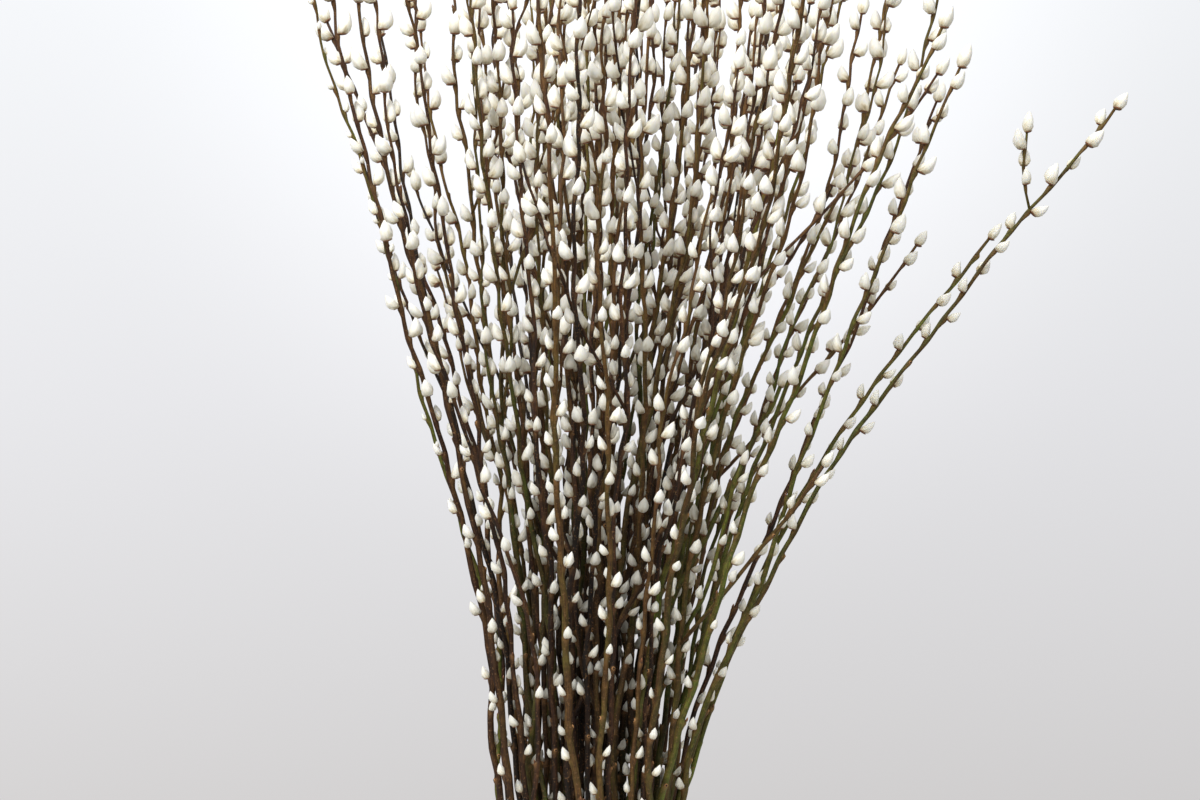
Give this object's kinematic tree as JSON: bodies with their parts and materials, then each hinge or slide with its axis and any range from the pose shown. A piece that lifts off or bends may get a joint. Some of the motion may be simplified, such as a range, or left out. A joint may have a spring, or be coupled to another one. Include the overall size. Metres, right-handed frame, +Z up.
{
  "type": "willow branch",
  "caption": "Bunch of cut pussy willow branches with silvery furry catkins, tied with twine and standing on its splayed cut ends.",
  "frame": {"origin": "the middle branch's cut end, on the surface that the bunch stands on", "axes": "+Z up along the bunch, -Y towards the side seen in the picture, +X to its right"},
  "size_m": [0.6499, 0.6416, 1.0785],
  "materials": {
    "bark": "smooth brown bark",
    "twine": "natural fibre"
  },
  "bodies": {
    "root": {"branch_01": "bark", "branch_02": "bark", "branch_03": "bark", "branch_04": "bark", "branch_05": "bark", "branch_06": "bark", "branch_07": "bark", "branch_08": "bark", "branch_09": "bark", "branch_10": "bark", "branch_11": "bark", "branch_12": "bark", "branch_13": "bark", "branch_14": "bark", "branch_15": "bark", "branch_16": "bark", "branch_17": "bark", "branch_18": "bark", "branch_19": "bark", "branch_20": "bark", "branch_21": "bark", "branch_22": "bark", "branch_23": "bark", "branch_24": "bark", "branch_25": "bark", "branch_26": "bark", "branch_27": "bark", "branch_28": "bark", "branch_29": "bark", "branch_30": "bark", "branch_31": "bark", "branch_32": "bark", "branch_33": "bark", "branch_34": "bark", "branch_35": "bark", "branch_36": "bark", "branch_37": "bark", "branch_38": "bark", "branch_39": "bark", "branch_40": "bark", "branch_41": "bark", "branch_42": "bark", "branch_43": "bark", "branch_44": "bark", "branch_45": "bark", "branch_46": "bark", "branch_47": "bark", "branch_48": "bark", "branch_49": "bark", "branch_50": "bark", "branch_51": "bark", "branch_52": "bark", "branch_53": "bark", "branch_54": "bark", "branch_55": "bark", "branch_56": "bark", "branch_57": "bark", "branch_58": "bark", "branch_59": "bark", "twine_tie": "twine"}
  },
  "joints": []
}
